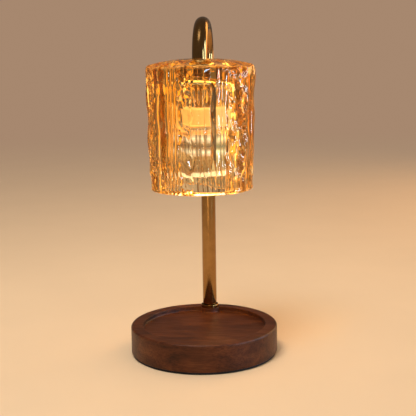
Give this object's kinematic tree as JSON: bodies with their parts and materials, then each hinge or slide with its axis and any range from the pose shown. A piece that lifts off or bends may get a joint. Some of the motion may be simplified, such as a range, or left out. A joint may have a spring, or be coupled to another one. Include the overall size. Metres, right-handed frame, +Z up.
{
  "type": "candle warmer lamp",
  "caption": "Table lamp that melts a jar candle from above: round recessed wooden base, arched brass neck and a thick-walled fluted glass shade round a reflector bulb.",
  "frame": {"origin": "centre of the round base, on the surface that the lamp stands on", "axes": "+Z up; -Y is the front, where the candle goes in; the neck and its arch lie in the YZ plane with the upright leg at +Y"},
  "size_m": [0.14, 0.14, 0.318],
  "materials": {
    "walnut": "oiled, satin",
    "black_foam": "matte",
    "zinc_steel": "zinc plated",
    "cast_iron": "as cast",
    "white_nylon": "moulded",
    "black_rubber": "moulded",
    "antique_brass": "polished antique",
    "turned_brass": "turned",
    "amber_glass": "pressed, polished",
    "clear_silicone": "satin",
    "cream_enamel": "gloss enamel",
    "white_ceramic": "unglazed, smooth",
    "mirror_coating": "mirror coated",
    "lit_glass": "clear, lit",
    "tinned_copper": "tinned"
  },
  "bodies": {
    "lamp": {"wooden_base": "walnut", "base_pad": "black_foam", "bottom_cover": "zinc_steel", "cover_screw_1": "zinc_steel", "cover_screw_2": "zinc_steel", "cover_screw_3": "zinc_steel", "cover_screw_4": "zinc_steel", "ballast_weight": "cast_iron", "terminal_block": "white_nylon", "cord_grommet": "black_rubber", "foot_ferrule": "antique_brass", "foot_stud": "turned_brass", "foot_washer": "zinc_steel", "foot_nut": "turned_brass", "neck_tube": "antique_brass", "neck_lead": "white_nylon", "glass_shade": "amber_glass", "shade_gasket": "clear_silicone", "seat_disc": "turned_brass", "head_stud": "turned_brass", "seat_nut": "turned_brass", "socket_cup": "cream_enamel", "stem_nut": "turned_brass", "cup_nut": "turned_brass", "holder_screw_1": "zinc_steel", "holder_screw_2": "zinc_steel", "socket_body": "white_ceramic"},
    "bulb": {"bulb_base": "white_ceramic", "bulb_reflector": "mirror_coating", "bulb_lens": "lit_glass", "bulb_capsule": "lit_glass", "bulb_pin_1": "tinned_copper", "bulb_pin_2": "tinned_copper"}
  },
  "joints": [
    {"name": "bulb_twist", "type": "hinge", "parent": "lamp", "child": "bulb", "pos_m": [0, -0.004, 0.2226], "axis": [0, 0, 1], "range_deg": [-25, 0]}
  ]
}
